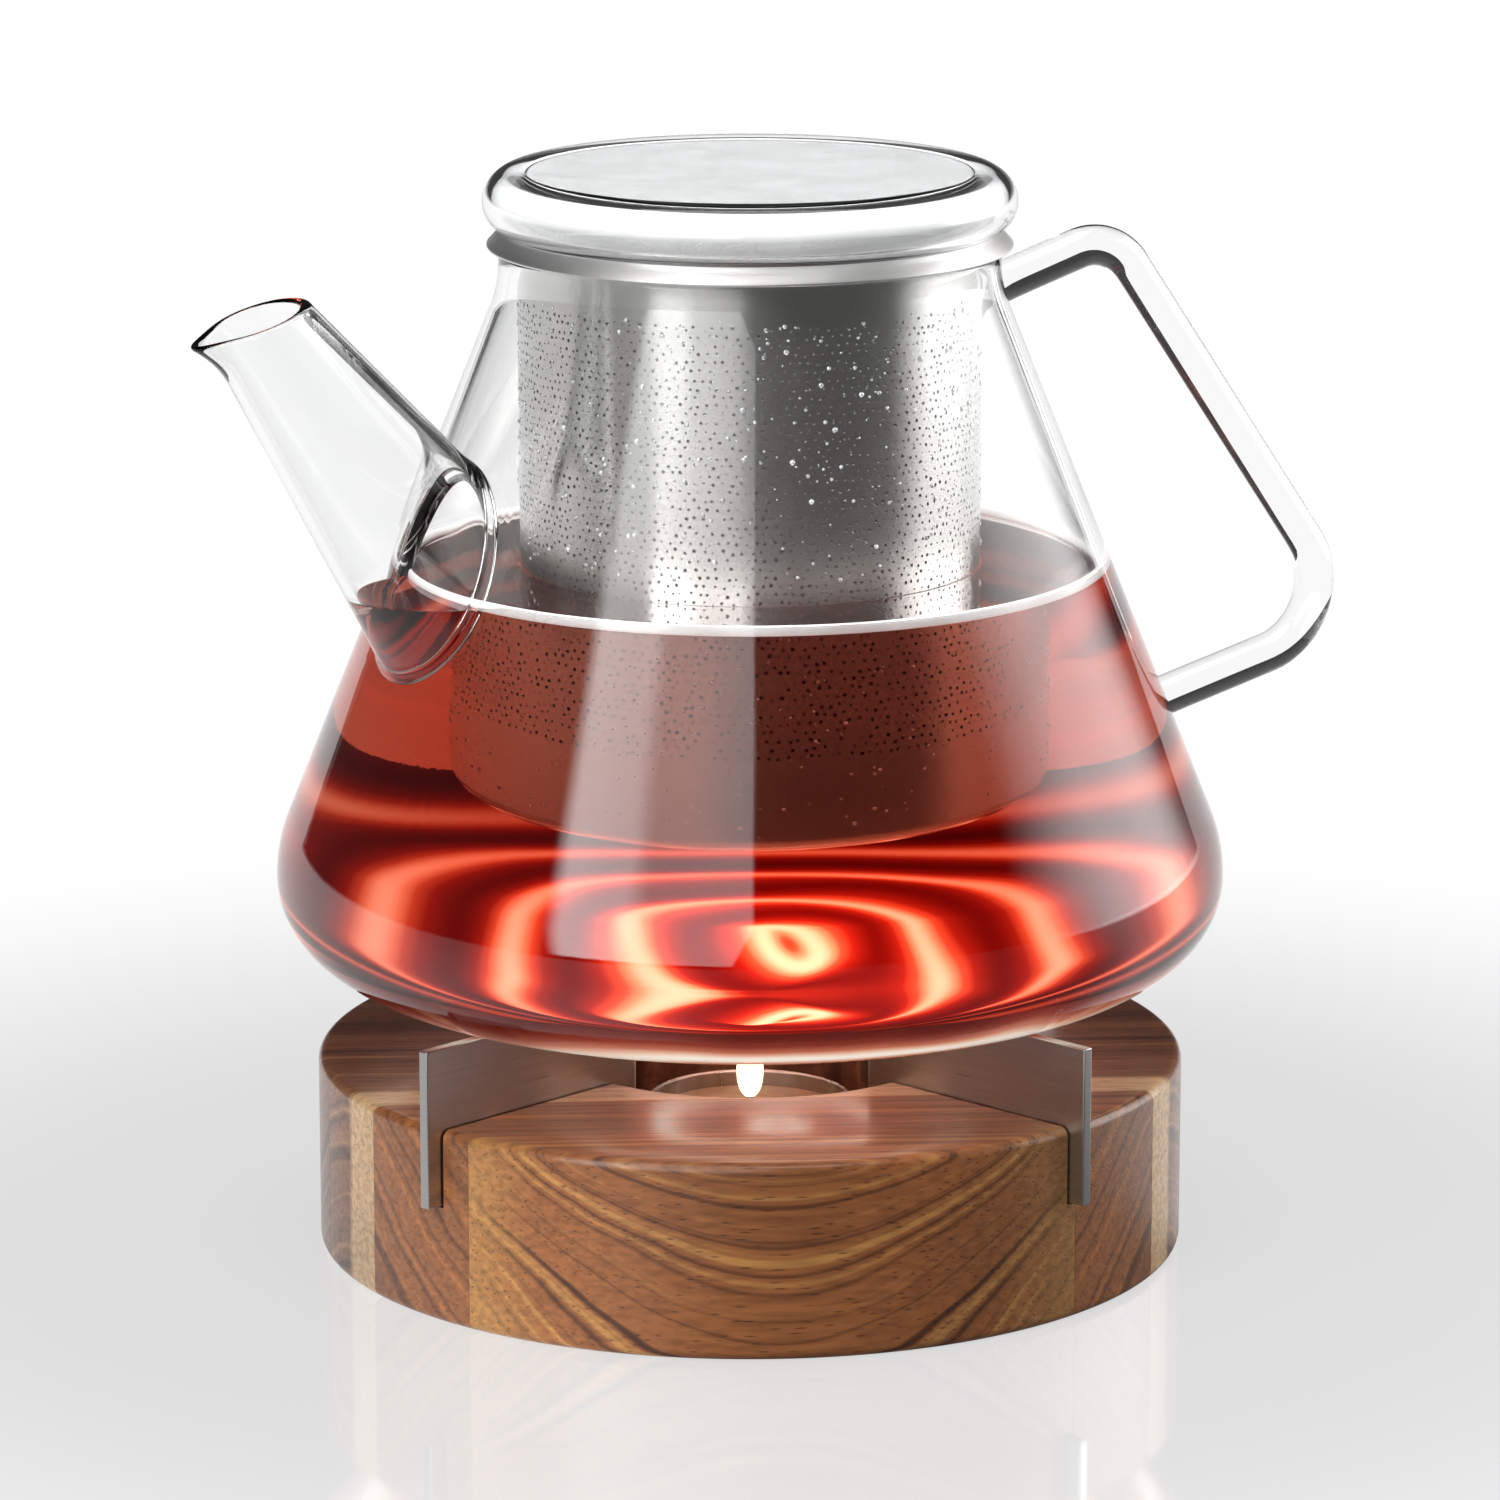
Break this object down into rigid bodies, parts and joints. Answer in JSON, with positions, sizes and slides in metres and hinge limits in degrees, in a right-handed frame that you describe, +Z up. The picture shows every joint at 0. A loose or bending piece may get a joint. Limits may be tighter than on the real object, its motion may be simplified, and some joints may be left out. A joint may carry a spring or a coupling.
{
  "type": "glass teapot",
  "caption": "Conical clear glass teapot with a straight spout, rod handle, steel infuser and glass lid, standing on a round wooden tealight warmer with upright steel blades.",
  "frame": {"origin": "on the pot's axis, on the surface that the warmer stands on", "axes": "+Z up; the spout points along -X and the handle along +X; the pot is symmetric about the XZ plane"},
  "size_m": [0.2344, 0.1744, 0.1998],
  "materials": {
    "clear_glass": "clear blown borosilicate, polished",
    "infuser_steel": "satin, finely perforated",
    "blade_steel": "brushed along the blade",
    "acacia_light": "oiled, satin",
    "acacia_dark": "oiled, satin",
    "cup_aluminium": "thin pressed sheet",
    "wax": "translucent paraffin wax",
    "wick_cotton": "charred braided cotton",
    "tab_steel": "thin pressed sheet"
  },
  "bodies": {
    "warmer": {"base_board_1": "acacia_light", "base_board_2": "acacia_dark", "base_board_3": "acacia_light", "base_board_4": "acacia_dark", "base_board_5": "acacia_light", "base_board_6": "acacia_dark", "base_board_7": "acacia_light", "base_board_8": "acacia_dark", "blade_1": "blade_steel", "blade_2": "blade_steel", "blade_3": "blade_steel", "blade_4": "blade_steel"},
    "tealight": {"tealight_cup": "cup_aluminium", "tealight_wax": "wax", "tealight_wick": "wick_cotton", "wick_tab": "tab_steel"},
    "pot": {"glass_base": "clear_glass", "glass_body": "clear_glass", "glass_neck": "clear_glass", "glass_spout": "clear_glass", "glass_handle": "clear_glass"},
    "infuser": {"infuser_wall": "infuser_steel", "infuser_rim": "infuser_steel", "infuser_base": "infuser_steel"},
    "lid": {"glass_lid": "clear_glass", "lid_plug": "clear_glass"}
  },
  "joints": [
    {"name": "tealight_lift", "type": "slide", "parent": "warmer", "child": "tealight", "axis": [0, 0, 1], "range_m": [0, 0.018]},
    {"name": "pot_lift", "type": "slide", "parent": "warmer", "child": "pot", "axis": [0, 0, 1], "range_m": [0, 0.12]},
    {"name": "infuser_lift", "type": "slide", "parent": "pot", "child": "infuser", "axis": [0, 0, 1], "range_m": [0, 0.12]},
    {"name": "lid_lift", "type": "slide", "parent": "infuser", "child": "lid", "axis": [0, 0, 1], "range_m": [0, 0.03]}
  ]
}
